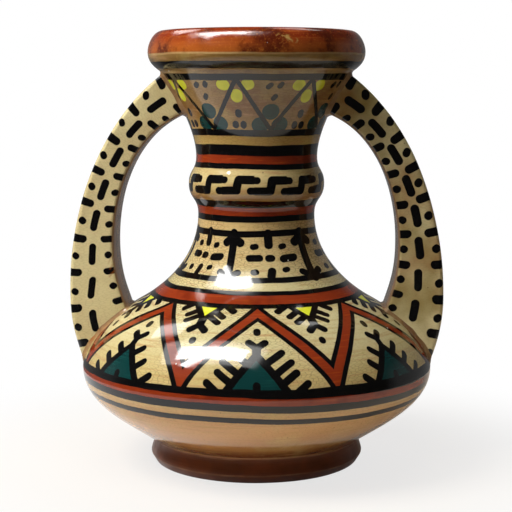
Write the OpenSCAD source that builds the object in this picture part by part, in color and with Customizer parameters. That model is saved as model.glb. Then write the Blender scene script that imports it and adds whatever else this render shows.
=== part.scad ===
// Two-handled vase: thrown in sections on the wheel, luted together with slip,
// and given a pair of strap handles that are saddled to the wall.
// Sizes are in millimetres. +Z is up, the origin is the centre of the foot's underside,
// and the handles lie along X.

/* [Foot ring] */
// Height of the foot ring, from the table to its seam with the bowl
foot_h = 13.5; // [10:0.5:18]
// Outer radius of the foot ring at its seam with the bowl
foot_r = 57.6; // [52:0.2:62]
// Projection of the turned ridge round the foot ring
foot_ridge = 2; // [0.5:0.25:4]
// Height of the turned ridge above the table
foot_ridge_h = 4.6; // [3:0.2:7]
// Setback of the standing face from the foot ring's outer radius
foot_bevel = 0.9; // [0:0.1:3]
// Width of the face that stands on the table
foot_face_w = 9.5; // [6:0.5:14]
// Depth of the bowl's base pad inside the foot ring
pad_h = 3; // [1.5:0.5:6]

/* [Belly] */
// Overhang of the bowl over the foot ring, where it springs
bowl_lap = 0.8; // [0:0.1:4]
// Height of the bowl, from the foot ring to the widest circle
bowl_h = 40.5; // [30:0.5:52]
// Radius of the widest circle
belly_r = 97.5; // [88:0.5:106]
// Height of the shoulder, from the widest circle to the neck's seam
shoulder_h = 36; // [28:0.5:46]
// Thickness of the bowl's floor
floor_t = 8; // [5:0.5:12]

/* [Neck] */
// Radius of the seam between shoulder and neck
neck_base_r = 66; // [58:0.5:74]
// Height of the neck, from its seam to the lower waist
neck_h = 48.7; // [38:0.1:60]
// Radius of the lower waist, under the collar
waist_r = 32.4; // [28:0.2:38]
// Height of the collar's swelling, from the lower waist to its widest circle
collar_low_h = 16.8; // [12:0.2:22]
// Height of the collar above its widest circle
collar_high_h = 15; // [11:0.2:20]
// Swelling of the collar's widest circle over the lower waist
collar_swell = 5.3; // [2:0.1:9]
// Radius of the throat, above the collar
throat_r = 33.6; // [30:0.2:38]

/* [Mouth] */
// Height of the flared mouth, from the throat to the rim's crease
mouth_h = 46.7; // [36:0.1:56]
// Radius of the crease under the rim
mouth_r = 53.3; // [48:0.1:58]
// Height of the rolled rim above the crease
rim_h = 21.6; // [18:0.2:28]
// Projection of the rolled rim past the crease
rim_lap = 6.5; // [4:0.1:10]
// Distance of the rim's crown in from its widest circle
rim_round = 7.8; // [6:0.1:10]

/* [Walls and seams] */
// Thickness of the thrown wall
wall = 6; // [5:0.25:8]
// Height of the tongue on each section's upper edge
tongue_h = 3; // [1.5:0.25:4]
// Width of a tongue at its root
tongue_w = 3; // [2:0.25:3.5]
// Thickness of the slip round each tongue
slip_t = 0.2; // [0.1:0.05:0.4]

/* [Handles] */
// Width of a handle, from its front face to its back face
handle_w = 28; // [20:0.5:34]
// Overhang of a handle past the widest circle
handle_lap = 5.9; // [3:0.1:12]
// Thickness of a handle between the farthest points of its outlines
handle_t = 24.9; // [18:0.1:30]
// Drop of a handle's top edge below the rim's crease
handle_drop = 2; // [1:0.25:6]
// Height of a handle's upper root on the mouth
handle_top_root = 20.8; // [14:0.2:26]
// Height of a handle's lower root, from the widest circle to its inner edge
handle_low_root = 33; // [28:0.5:38]
// Height of a handle's lower edge above the widest circle
handle_rise = 4; // [2:0.5:8]
// Rounding of a handle's long edges
handle_edge = 2.5; // [1:0.25:5]
// Leg of the luting fillet round each handle's roots
lute_leg = 2; // [1:0.25:3]

/* [Hidden] */
$fn = 96;

cream = "#dcc79a";
ochre = "#c9a97b";
red_slip = "#8a3a1c";
brown_glaze = "#4b2a1a";
clay = "#a98a68";

// Steps along each kind of curve
wall_steps = 18;
collar_steps = 10;
rim_steps = 8;
strap_steps = 24;
edge_steps = 3;
flat_steps = 4;

// Heights of the seams, added up from the table
bowl_z = foot_h;
belly_z = bowl_z + bowl_h;
neck_z = belly_z + shoulder_h;
waist_z = neck_z + neck_h;
collar_z = waist_z + collar_low_h;
throat_z = collar_z + collar_high_h;
mouth_z = throat_z + mouth_h;
top_z = mouth_z + rim_h;

// Slopes of the wall at the seams, in degrees from outwards towards up
upright = 90;
inward = 180;
bowl_slope = 36;
neck_slope = 151;
mouth_slope = 58;
lip_slope = 35;

// A station is [radius, height, slope] on the outer wall
bowl_foot = [foot_r + bowl_lap, bowl_z, bowl_slope];
belly = [belly_r, belly_z, upright];
neck_base = [neck_base_r, neck_z, neck_slope];
waist = [waist_r, waist_z, upright];
collar_max = [waist_r + collar_swell, collar_z, upright];
throat = [throat_r, throat_z, upright];
mouth_top = [mouth_r, mouth_z, mouth_slope];

// Small vector helpers
function along(angle) = [cos(angle), sin(angle)];
function outward(angle) = [sin(angle), -cos(angle)];
function unit(v) = v / norm(v);
function spot(station) = [station[0], station[1]];
function tail(list) = [for (i = [1 : len(list) - 1]) list[i]];
function reversed(list) = [for (i = [len(list) - 1 : -1 : 0]) list[i]];

// Point and direction on a cubic curve
function cubic(c, t) =
    c[0] * pow(1 - t, 3) + c[1] * 3 * t * pow(1 - t, 2) + c[2] * 3 * t * t * (1 - t) + c[3] * pow(t, 3);
function cubic_dir(c, t) =
    unit((c[1] - c[0]) * pow(1 - t, 2) + (c[2] - c[1]) * 2 * t * (1 - t) + (c[3] - c[2]) * t * t);

// Control points of the curve between two stations: each pull is a share of the chord
function controls(a, b, pull_a, pull_b) =
    let (chord = norm(spot(b) - spot(a)))
    [
        spot(a),
        spot(a) + along(a[2]) * pull_a * chord,
        spot(b) - along(b[2]) * pull_b * chord,
        spot(b)
    ];
function points_on(c, steps) = [for (i = [0 : steps]) cubic(c, i / steps)];
function points_within(c, steps, depth) =
    [for (i = [0 : steps]) let (d = cubic_dir(c, i / steps)) cubic(c, i / steps) - [d[1], -d[0]] * depth];

// Curves of the wall, from the foot to the rim
bowl_curve = controls(bowl_foot, belly, 0.38, 0.33);
shoulder_curve = controls(belly, neck_base, 0.26, 0.33);
neck_curve = controls(neck_base, waist, 0.3, 0.4);
collar_low_curve = controls(waist, collar_max, 0.5, 0.5);
collar_high_curve = controls(collar_max, throat, 0.5, 0.5);
mouth_curve = controls(throat, mouth_top, 0.31, 0.24);

// Curves of the rolled rim: out to its widest circle, over the crown, and down inside
rim_side_share = 0.47;
rim_side = [mouth_r + rim_lap, mouth_z + rim_h * rim_side_share, upright];
rim_crown = [rim_side[0] - rim_round, top_z, inward];
rim_inside = spot(mouth_top) - outward(mouth_slope) * wall;
rim_throat = [rim_inside[0], rim_inside[1], -upright];
rim_under_curve = controls([mouth_r, mouth_z, lip_slope], rim_side, 0.38, 0.4);
rim_over_curve = controls(rim_side, rim_crown, 0.36, 0.3);
rim_inner_curve = controls(rim_crown, rim_throat, 0.33, 0.5);

// The whole outer wall, and its radius at any height
body_points = concat(
    points_on(bowl_curve, wall_steps),
    tail(points_on(shoulder_curve, wall_steps)),
    tail(points_on(neck_curve, wall_steps)),
    tail(points_on(collar_low_curve, collar_steps)),
    tail(points_on(collar_high_curve, collar_steps)),
    tail(points_on(mouth_curve, wall_steps)),
    tail(points_on(rim_under_curve, rim_steps)),
    tail(points_on(rim_over_curve, rim_steps))
);
wall_table = [for (p = body_points) [p[1], p[0]]];
function wall_r(z) = lookup(z, wall_table);

// A tongue stands in the middle of a section's upper edge, and the next section has its groove
tongue_tip_share = 0.7;
function tongue(station, grow) =
    let (
        middle = spot(station) - outward(station[2]) * wall / 2,
        root = outward(station[2]) * (tongue_w / 2 + grow),
        tip = outward(station[2]) * (tongue_w * tongue_tip_share / 2 + grow),
        rise = along(station[2]) * (tongue_h + grow)
    )
    [middle + root, middle + tip + rise, middle - tip + rise, middle - root];

// A ring of wall between two seams, turned about the axis
module thrown(outer, inner, low_seam, high_seam)
    rotate_extrude()
        polygon(concat(outer, tongue(high_seam, 0), reversed(inner), reversed(tongue(low_seam, slip_t))));

// The foot ring is waisted above its ridge
foot_face_r = foot_r - foot_bevel;
foot_hole_r = foot_face_r - foot_face_w;
ridge_slope = 100;
foot_curve = controls([foot_r + foot_ridge, foot_ridge_h, ridge_slope], [foot_r, foot_h, upright], 0.4, 0.4);

module foot_ring()
    color(brown_glaze)
        rotate_extrude()
            polygon(concat(
                [[foot_hole_r, 0], [foot_face_r, 0]],
                points_on(foot_curve, rim_steps),
                [[foot_hole_r, foot_h]]
            ));

module belly_bowl() {
    floor_z = bowl_z + floor_t;
    pad_r = foot_hole_r - slip_t;
    inner = [for (p = points_within(bowl_curve, wall_steps, wall)) if (p[1] > floor_z) p];
    color(ochre)
        rotate_extrude()
            polygon(concat(
                [[0, bowl_z - pad_h], [pad_r, bowl_z - pad_h], [pad_r, bowl_z]],
                points_on(bowl_curve, wall_steps),
                tongue(belly, 0),
                reversed(inner),
                [[inner[0][0], floor_z], [0, floor_z]]
            ));
}

module shoulder()
    color(cream)
        thrown(
            points_on(shoulder_curve, wall_steps),
            points_within(shoulder_curve, wall_steps, wall),
            belly, neck_base
        );

module neck()
    color(cream)
        thrown(points_on(neck_curve, wall_steps), points_within(neck_curve, wall_steps, wall), neck_base, waist);

module collar()
    color(cream)
        thrown(
            concat(points_on(collar_low_curve, collar_steps), tail(points_on(collar_high_curve, collar_steps))),
            concat(
                points_within(collar_low_curve, collar_steps, wall),
                tail(points_within(collar_high_curve, collar_steps, wall))
            ),
            waist, throat
        );

module mouth()
    color(cream)
        thrown(
            points_on(mouth_curve, wall_steps), points_within(mouth_curve, wall_steps, wall), throat, mouth_top
        );

module rolled_rim()
    color(red_slip)
        rotate_extrude()
            polygon(concat(
                points_on(rim_under_curve, rim_steps),
                tail(points_on(rim_over_curve, rim_steps)),
                tail(points_on(rim_inner_curve, rim_steps)),
                reversed(tongue(mouth_top, slip_t))
            ));

// Handles sit on the wall with a thin bed of slip under their roots
function seat_r(z) = wall_r(z) + slip_t;
function outside(p) = norm([p[0], p[1]]) > seat_r(p[2]);
function seated(p) = concat(unit([p[0], p[1]]) * seat_r(p[2]), [p[2]]);

// Reaches and heights of a handle's four roots and its two farthest points
handle_reach = belly_r + handle_lap;
grip_reach = handle_reach - handle_t;
top_out_z = mouth_z - handle_drop;
top_in_z = top_out_z - handle_top_root;
low_out_z = belly_z + handle_rise;
low_in_z = belly_z + handle_low_root;
reach_share = 0.23;
grip_share = 0.33;
reach_z = low_out_z + (top_out_z - low_out_z) * reach_share;
grip_z = low_in_z + (top_in_z - low_in_z) * grip_share;

// A handle's outlines in the XZ plane: each is two curves that meet at its farthest point,
// and runs on inside the wall at both ends
bury = 10;
outer_slopes = [-32, -113];
outer_pulls = [0.36, 0.33, 0.26, 0.48];
inner_slopes = [-14, -103];
inner_pulls = [0.44, 0.3, 0.5, 0.33];
function outline(root_z, far, slopes, pulls) =
    let (
        top = [wall_r(root_z[0]), root_z[0]] - along(slopes[0]) * bury,
        low = [wall_r(root_z[1]), root_z[1]] + along(slopes[1]) * bury,
        farthest = [far[0], far[1], -upright]
    )
    [
        controls([top[0], top[1], slopes[0]], farthest, pulls[0], pulls[1]),
        controls(farthest, [low[0], low[1], slopes[1]], pulls[2], pulls[3])
    ];
outer_outline = outline([top_out_z, low_out_z], [handle_reach, reach_z], outer_slopes, outer_pulls);
inner_outline = outline([top_in_z, low_in_z], [grip_reach, grip_z], inner_slopes, inner_pulls);

// Point on an outline at u, from 0 at the mouth's end to 1 at the shoulder's end. Each outline has
// its own u at its farthest point, which keeps the sections about square to the strap.
outer_far_u = 0.8;
inner_far_u = 0.62;
function on_outline(curves, far_u, u) =
    u < far_u ? cubic(curves[0], u / far_u) : cubic(curves[1], (u - far_u) / (1 - far_u));

// Section of a strap, t thick, as [distance from its inner edge, y] round a rounded rectangle
quarter = 90;
function strap_section(t) =
    let (
        e = handle_edge,
        half = handle_w / 2 - e,
        corners = [[t - e, -half, -quarter], [t - e, half, 0], [e, half, quarter], [e, -half, 2 * quarter]],
        rounds = [
            for (c = corners)
                [for (k = [0 : edge_steps]) [c[0], c[1]] + along(c[2] + quarter * k / edge_steps) * e]
        ]
    )
    [
        for (i = [0 : 3])
            let (here = rounds[i], next = rounds[(i + 1) % 4], last = here[edge_steps])
            each concat(here, [for (k = [1 : flat_steps - 1]) last + (next[0] - last) * k / flat_steps])
    ];
ring_size = len(strap_section(handle_t));

// Point on a strap's skin: u along it, and the place j round its section
function on_strap(u, j) =
    let (
        low = on_outline(inner_outline, inner_far_u, u),
        across = on_outline(outer_outline, outer_far_u, u) - low,
        p = strap_section(norm(across))[j],
        flat = low + unit(across) * p[0]
    )
    [flat[0], p[1], flat[1]];

// Where a strap's long lines leave the wall: the u at which each crosses the bed of slip
function crossing(j, inside_u, outside_u, halvings = 14) =
    let (u = (inside_u + outside_u) / 2)
    halvings == 0 ? u
    : outside(on_strap(u, j)) ? crossing(j, inside_u, u, halvings - 1)
    : crossing(j, u, outside_u, halvings - 1);
clear_u = [0.4, 0.8];
top_u = [for (j = [0 : ring_size - 1]) crossing(j, 0, clear_u[0])];
low_u = [for (j = [0 : ring_size - 1]) crossing(j, 1, clear_u[1])];
function root(us) = [for (j = [0 : ring_size - 1]) on_strap(us[j], j)];

// A closed skin over equal rings of points: joined end to end, or closed by a point at each end
module skin(rings, ends = []) {
    n = len(rings[0]);
    last = len(rings) - 1;
    looped = len(ends) == 0;
    peak = len(rings) * n;
    sides = [
        for (i = [0 : looped ? last : last - 1], j = [0 : n - 1])
            let (a = i * n, b = ((i + 1) % len(rings)) * n, k = (j + 1) % n)
            each [[a + j, b + j, b + k], [a + j, b + k, a + k]]
    ];
    caps = looped ? [] : [
        for (j = [0 : n - 1])
            let (k = (j + 1) % n)
            each [[peak, j, k], [peak + 1, last * n + k, last * n + j]]
    ];
    polyhedron(concat([for (r = rings) each r], ends), concat(sides, caps));
}

// The saddle under a root: smaller and smaller loops on the bed of slip
function mean(list) = [for (v = list) 1] * list / len(list);
function saddle(loop, share) = [for (p = loop) seated(p + (mean(loop) - p) * share)];
saddle_shares = [0.3, 0.65];

module handle() {
    top = root(top_u);
    low = root(low_u);
    straps = [
        for (i = [1 : strap_steps - 1])
            [for (j = [0 : ring_size - 1]) on_strap(top_u[j] + (low_u[j] - top_u[j]) * i / strap_steps, j)]
    ];
    color(cream)
        skin(
            concat(
                [for (share = reversed(saddle_shares)) saddle(top, share)], [top],
                straps,
                [low], [for (share = saddle_shares) saddle(low, share)]
            ),
            [seated(mean(top)), seated(mean(low))]
        );
}

// Outward direction of the wall at a point on it
slope_step = 0.5;
function wall_normal(p) =
    let (rise = (wall_r(p[2] + slope_step) - wall_r(p[2] - slope_step)) / (2 * slope_step))
    unit(concat(unit([p[0], p[1]]), [-rise]));
function without(v, n) = unit(v - n * (v * n));

// A fillet of luting clay round a root: a leg on the wall, a leg on the strap, and a hollow between
hollow = 0.32;
u_step = 0.01;
module luting(us, turn) {
    loop = root(us);
    fillet = [
        for (j = [0 : ring_size - 1])
            let (
                along_loop = loop[(j + 1) % ring_size] - loop[(j + ring_size - 1) % ring_size],
                along_strap = on_strap(us[j] + u_step * turn, j) - loop[j],
                strap_normal = unit(cross(along_strap, along_loop)) * turn,
                normal = wall_normal(loop[j]),
                on_wall = seated(loop[j] + without(strap_normal, normal) * lute_leg),
                up_strap = loop[j] + without(normal, strap_normal) * lute_leg
            )
            [loop[j], on_wall, loop[j] + (on_wall + up_strap - 2 * loop[j]) * hollow, up_strap]
    ];
    color(clay) skin(turn > 0 ? fillet : reversed(fillet));
}
module upper_luting() luting(top_u, 1);
module lower_luting() luting(low_u, -1);

module left_side() mirror([1, 0, 0]) children();

foot_ring();
belly_bowl();
shoulder();
neck();
collar();
mouth();
rolled_rim();
left_side() handle();  // left_handle
handle();  // right_handle
left_side() upper_luting();  // left_upper_luting
left_side() lower_luting();  // left_lower_luting
upper_luting();  // right_upper_luting
lower_luting();  // right_lower_luting
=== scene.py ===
import math
from bisect import bisect_right
from functools import partialmethod
from itertools import accumulate

import bmesh
import bpy
from mathutils import Matrix, Quaternion, Vector, noise
from mathutils.kdtree import KDTree


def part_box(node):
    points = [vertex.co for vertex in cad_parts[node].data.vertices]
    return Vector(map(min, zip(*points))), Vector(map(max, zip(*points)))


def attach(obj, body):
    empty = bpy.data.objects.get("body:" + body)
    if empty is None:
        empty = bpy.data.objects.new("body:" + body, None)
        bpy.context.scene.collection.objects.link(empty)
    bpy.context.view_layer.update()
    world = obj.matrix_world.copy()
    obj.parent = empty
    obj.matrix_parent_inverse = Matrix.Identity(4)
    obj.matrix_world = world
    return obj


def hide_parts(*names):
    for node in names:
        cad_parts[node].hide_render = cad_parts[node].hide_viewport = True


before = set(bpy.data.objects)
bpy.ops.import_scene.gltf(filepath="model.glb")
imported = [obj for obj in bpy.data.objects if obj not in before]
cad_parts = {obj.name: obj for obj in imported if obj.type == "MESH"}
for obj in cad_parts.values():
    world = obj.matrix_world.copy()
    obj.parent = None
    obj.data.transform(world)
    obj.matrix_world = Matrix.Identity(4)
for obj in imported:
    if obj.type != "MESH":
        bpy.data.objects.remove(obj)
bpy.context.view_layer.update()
MM = 0.001


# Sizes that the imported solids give
def lowest(node):
    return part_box(node)[0].z / MM


def highest(node):
    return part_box(node)[1].z / MM


def reach(node):
    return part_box(node)[1].x / MM


foot_top = highest("foot_ring")
ridge_r = reach("foot_ring")
belly_z = lowest("shoulder")
belly_r = reach("belly_bowl")
neck_z = highest("shoulder")
neck_base_r = reach("neck")
waist_z = lowest("collar")
collar_r = reach("collar")
throat_z = lowest("mouth")
mouth_r = reach("mouth")
mouth_z = lowest("rolled_rim")
rim_r = reach("rolled_rim")
top_z = highest("rolled_rim")
handle_reach = reach("right_handle")
handle_w = 2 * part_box("right_handle")[1].y / MM

# Sizes that the boxes don't show
FOOT_RIDGE = 2.0
FOOT_RIDGE_Z = 4.6
FOOT_BEVEL = 0.9
FOOT_FACE_W = 9.5
FOOT_ROUND = 0.7
PAD_H = 3.0
BOWL_LAP = 0.8
FLOOR_T = 8.0
WALL = 6.0
SLIP_T = 0.2
WAIST_R = 32.4
THROAT_R = 33.6
COLLAR_Z = 155.5
RIM_ROUND = 7.8
RIM_SIDE_SHARE = 0.47
HANDLE_T = 24.9
HANDLE_EDGE = 2.2

# Fineness of the meshes
TURN_STEPS = 160
STEP_LENGTH = 1.3
FEWEST_STEPS = 8
FOOT_ROUND_STEPS = 3
STRAP_STEPS = 96
STRAP_ACROSS = 10
STRAP_SAMPLES = 1600
EDGE_STEPS = 5
LUTING_STEPS = 96
FILLET_STEPS = 6
HALVINGS = 18


# Curves of the wall, as in the part's source: a station is (radius, height, slope in degrees)
def heading(degrees):
    return Vector((math.cos(math.radians(degrees)), math.sin(math.radians(degrees))))


def outward(way):
    return Vector((way.y, -way.x))


def spot(station):
    return Vector(station[:2])


def curve(a, b, pull_a, pull_b):
    start = spot(a)
    end = spot(b)
    chord = (end - start).length
    return (start, start + heading(a[2]) * pull_a * chord, end - heading(b[2]) * pull_b * chord, end)


def on_curve(c, t):
    s = 1 - t
    return c[0] * s**3 + c[1] * 3 * t * s * s + c[2] * 3 * t * t * s + c[3] * t**3


def curve_heading(c, t):
    s = 1 - t
    return ((c[1] - c[0]) * s * s + (c[2] - c[1]) * 2 * t * s + (c[3] - c[2]) * t * t).normalized()


def steps_of(c):
    return max(FEWEST_STEPS, round((c[3] - c[0]).length / STEP_LENGTH))


def points_on(c, depth=0.0):
    """Points along a curve, moved inwards by a depth."""
    points = []
    for i in range(steps_of(c) + 1):
        way = curve_heading(c, i / steps_of(c))
        points.append(on_curve(c, i / steps_of(c)) - outward(way) * depth)
    return points


UPRIGHT = 90
INWARD = 180
RIDGE_SLOPE = 100
BOWL_SLOPE = 36
NECK_SLOPE = 151
MOUTH_SLOPE = 58
RIM_SLOPE = 35
foot_r = ridge_r - FOOT_RIDGE
foot_face_r = foot_r - FOOT_BEVEL
foot_hole_r = foot_face_r - FOOT_FACE_W
bowl_foot = (foot_r + BOWL_LAP, foot_top, BOWL_SLOPE)
belly = (belly_r, belly_z, UPRIGHT)
neck_base = (neck_base_r, neck_z, NECK_SLOPE)
waist = (WAIST_R, waist_z, UPRIGHT)
collar_max = (collar_r, COLLAR_Z, UPRIGHT)
throat = (THROAT_R, throat_z, UPRIGHT)
mouth_top = (mouth_r, mouth_z, MOUTH_SLOPE)
rim_lip = (mouth_r, mouth_z, RIM_SLOPE)
rim_side = (rim_r, mouth_z + (top_z - mouth_z) * RIM_SIDE_SHARE, UPRIGHT)
rim_crown = (rim_r - RIM_ROUND, top_z, INWARD)
rim_inside = spot(mouth_top) - outward(heading(MOUTH_SLOPE)) * WALL
rim_end = (rim_inside.x, rim_inside.y, -UPRIGHT)
CURVES = {
    "foot_ring": [curve((ridge_r, FOOT_RIDGE_Z, RIDGE_SLOPE), (foot_r, foot_top, UPRIGHT), 0.4, 0.4)],
    "belly_bowl": [curve(bowl_foot, belly, 0.38, 0.33)],
    "shoulder": [curve(belly, neck_base, 0.26, 0.33)],
    "neck": [curve(neck_base, waist, 0.3, 0.4)],
    "collar": [curve(waist, collar_max, 0.5, 0.5), curve(collar_max, throat, 0.5, 0.5)],
    "mouth": [curve(throat, mouth_top, 0.31, 0.24)],
    "rolled_rim": [
        curve(rim_lip, rim_side, 0.38, 0.4),
        curve(rim_side, rim_crown, 0.36, 0.3),
        curve(rim_crown, rim_end, 0.33, 0.5),
    ],
}


# The wall's course runs from the foot up the outside, over the rim and down the inside.
# Each point of it has a rise, its distance along the course, which the paint follows.
def measured(points, before):
    """Pairs points with their rise, going on from the last pair before them."""
    course = []
    last, rise = before
    for point in points:
        rise += (point - last).length
        last = point
        course.append((point, rise))
    return course


def section_points(section, depth=0.0):
    points = []
    for c in CURVES[section]:
        points += points_on(c, depth)[1 if points else 0:]
    return points


floor_z = foot_top + FLOOR_T
course_end = (Vector((foot_face_r, 0)), 0.0)
outside = {}
for section in CURVES:
    outside[section] = measured(section_points(section), course_end)
    course_end = outside[section][-1]
inside = {}
for section in ("mouth", "collar", "neck", "shoulder", "belly_bowl"):
    above_floor = [point for point in section_points(section, WALL) if point.y > floor_z]
    inside[section] = measured(above_floor[::-1], course_end)
    course_end = inside[section][-1]

wall_course = [pair for pairs in outside.values() for pair in pairs if pair[0].y < top_z]
wall_heights = []
wall_radii = []
for wall_point, _ in wall_course:
    if not wall_heights or wall_point.y > wall_heights[-1]:
        wall_heights.append(wall_point.y)
        wall_radii.append(wall_point.x)


def wall_r(z):
    """Outer radius of the body at a height."""
    i = min(max(bisect_right(wall_heights, z), 1), len(wall_heights) - 1)
    share = (z - wall_heights[i - 1]) / (wall_heights[i] - wall_heights[i - 1])
    return wall_radii[i - 1] + (wall_radii[i] - wall_radii[i - 1]) * min(max(share, 0), 1)


# Every piece gets the same slight unevenness of hand work, so that neighbours still meet:
# its lengths and depths, and the seed that makes it the same at each run
UNEVEN = ((60.0, 0.45), (17.0, 0.1))
UNEVEN_SEED = 5
noise.seed_set(UNEVEN_SEED)


def by_hand(place):
    """A point in metres, moved sideways by the unevenness of the clay."""
    moved = place.copy()
    for length, depth in UNEVEN:
        shift = noise.noise_vector(place / (length * MM)) * depth * MM
        moved.x += shift.x
        moved.y += shift.y
    return moved


# Angles in degrees up to which shading is smooth, and from which an edge of a strap counts as one
SHARP_ANGLE = 35
LUTING_SHARP_ANGLE = 50
FOLD_ANGLE = 60
# How near points are the same, and how near they lie on a corner
SAME_PLACE = 0.001
CORNER_REACH = 0.01


def placed(name, data):
    made = bpy.data.objects.new(name, data)
    bpy.context.scene.collection.objects.link(made)
    return made


def piece(name, mesh, sharp_angle=SHARP_ANGLE):
    """Makes an object of a bmesh, with smooth shading up to an angle."""
    for vert in mesh.verts:
        vert.co = by_hand(vert.co)
    for face in mesh.faces:
        face.smooth = True
    data = bpy.data.meshes.new(name + "_glazed")
    mesh.to_mesh(data)
    mesh.free()
    data.set_sharp_from_angle(angle=math.radians(sharp_angle))
    return placed(name + "_glazed", data)


def break_edges(mesh, edges, width, steps):
    bmesh.ops.bevel(
        mesh, geom=edges, offset=width * MM, offset_type="OFFSET",
        affect="EDGES", segments=steps, profile=0.5, material=-1,
    )


def turned(name, outline, rounded=()):
    """A piece turned about the axis from a closed outline of (point, rise) pairs.
    The corners at the rounded points are broken with a bevel."""
    mesh = bmesh.new()
    rise_layer = mesh.verts.layers.float.new("rise")
    ring = []
    for point, rise in outline:
        vert = mesh.verts.new((point.x * MM, 0, point.y * MM))
        vert[rise_layer] = rise
        ring.append(vert)
    pairs = list(zip(ring, ring[1:] + ring[:1]))
    edges = [mesh.edges.new(pair) for pair in pairs if pair[0].co.x > 0 or pair[1].co.x > 0]
    bmesh.ops.spin(
        mesh, geom=ring + edges, cent=(0, 0, 0), axis=(0, 0, 1), dvec=(0, 0, 0),
        angle=math.tau, steps=TURN_STEPS, use_merge=True, use_duplicate=False,
    )
    bmesh.ops.remove_doubles(mesh, verts=mesh.verts[:], dist=SAME_PLACE * MM)
    bmesh.ops.recalc_face_normals(mesh, faces=mesh.faces[:])
    corners = []
    for point in rounded:
        for edge in mesh.edges:
            ends = [Vector((math.hypot(v.co.x, v.co.y), v.co.z)) / MM for v in edge.verts]
            if all((end - point).length < CORNER_REACH for end in ends):
                corners.append(edge)
    if corners:
        break_edges(mesh, corners, FOOT_ROUND, FOOT_ROUND_STEPS)
    return piece(name, mesh)


def ring_of_wall(name):
    return turned(name, outside[name] + inside[name])


def make_foot_ring():
    face_inner = Vector((foot_hole_r, 0))
    face_outer = Vector((foot_face_r, 0))
    seat_inner = Vector((foot_hole_r, foot_top))
    outline = [(face_inner, 0), (face_outer, 0)] + outside["foot_ring"] + [(seat_inner, 0)]
    return turned("foot_ring", outline, [face_inner, face_outer, outside["foot_ring"][0][0]])


def make_belly_bowl():
    pad_r = foot_hole_r - SLIP_T
    pad_z = foot_top - PAD_H
    under = [(Vector((0, pad_z)), 0), (Vector((pad_r, pad_z)), 0), (Vector((pad_r, foot_top)), 0)]
    floor_edge, floor_rise = inside["belly_bowl"][-1]
    floor_middle = (Vector((0, floor_z)), floor_rise + floor_edge.x)
    floor = [(Vector((floor_edge.x, floor_z)), floor_rise), floor_middle]
    return turned("belly_bowl", under + outside["belly_bowl"] + inside["belly_bowl"] + floor)


# Outlines of a handle in the XZ plane, as in the part's source
HANDLE_DROP = 2.0
HANDLE_TOP_ROOT = 20.8
HANDLE_LOW_ROOT = 33.0
HANDLE_RISE = 4.0
REACH_SHARE = 0.23
GRIP_SHARE = 0.33
BURY = 10.0
ROOT_DEPTH = 0.8
OUTER_FAR_U = 0.8
INNER_FAR_U = 0.62
OUTER_SLOPES = (-32, -113)
INNER_SLOPES = (-14, -103)
OUTER_PULLS = (0.36, 0.33, 0.26, 0.48)
INNER_PULLS = (0.44, 0.3, 0.5, 0.33)
top_out_z = mouth_z - HANDLE_DROP
top_in_z = top_out_z - HANDLE_TOP_ROOT
low_out_z = belly_z + HANDLE_RISE
low_in_z = belly_z + HANDLE_LOW_ROOT
reach_z = low_out_z + (top_out_z - low_out_z) * REACH_SHARE
grip_z = low_in_z + (top_in_z - low_in_z) * GRIP_SHARE


def outline_of(root_z, far, slopes, pulls):
    top = Vector((wall_r(root_z[0]), root_z[0])) - heading(slopes[0]) * BURY
    low = Vector((wall_r(root_z[1]), root_z[1])) + heading(slopes[1]) * BURY
    farthest = (far[0], far[1], -UPRIGHT)
    return (
        curve((top.x, top.y, slopes[0]), farthest, pulls[0], pulls[1]),
        curve(farthest, (low.x, low.y, slopes[1]), pulls[2], pulls[3]),
    )


outer_far = (handle_reach, reach_z)
inner_far = (handle_reach - HANDLE_T, grip_z)
outer_outline = outline_of((top_out_z, low_out_z), outer_far, OUTER_SLOPES, OUTER_PULLS)
inner_outline = outline_of((top_in_z, low_in_z), inner_far, INNER_SLOPES, INNER_PULLS)


def on_outline(curves, far_u, u):
    if u < far_u:
        return on_curve(curves[0], u / far_u)
    return on_curve(curves[1], (u - far_u) / (1 - far_u))


def across_strap(u):
    """The strap's inner and outer edge at u, from 0 at the mouth to 1 at the shoulder."""
    return on_outline(inner_outline, INNER_FAR_U, u), on_outline(outer_outline, OUTER_FAR_U, u)


def wall_crossing(place, inside_u, outside_u, depth=0.0):
    """The u at which place(u), on a long line of a strap, crosses the wall at a depth."""
    for _ in range(HALVINGS):
        u = (inside_u + outside_u) / 2
        x, y, z = place(u)
        if math.hypot(x, y) > wall_r(z) - depth:
            outside_u = u
        else:
            inside_u = u
    return outside_u


# Where along a strap it is well clear of the wall, below its top root and above its low one
CLEAR_TOP_U = 0.4
CLEAR_LOW_U = 0.8


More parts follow.
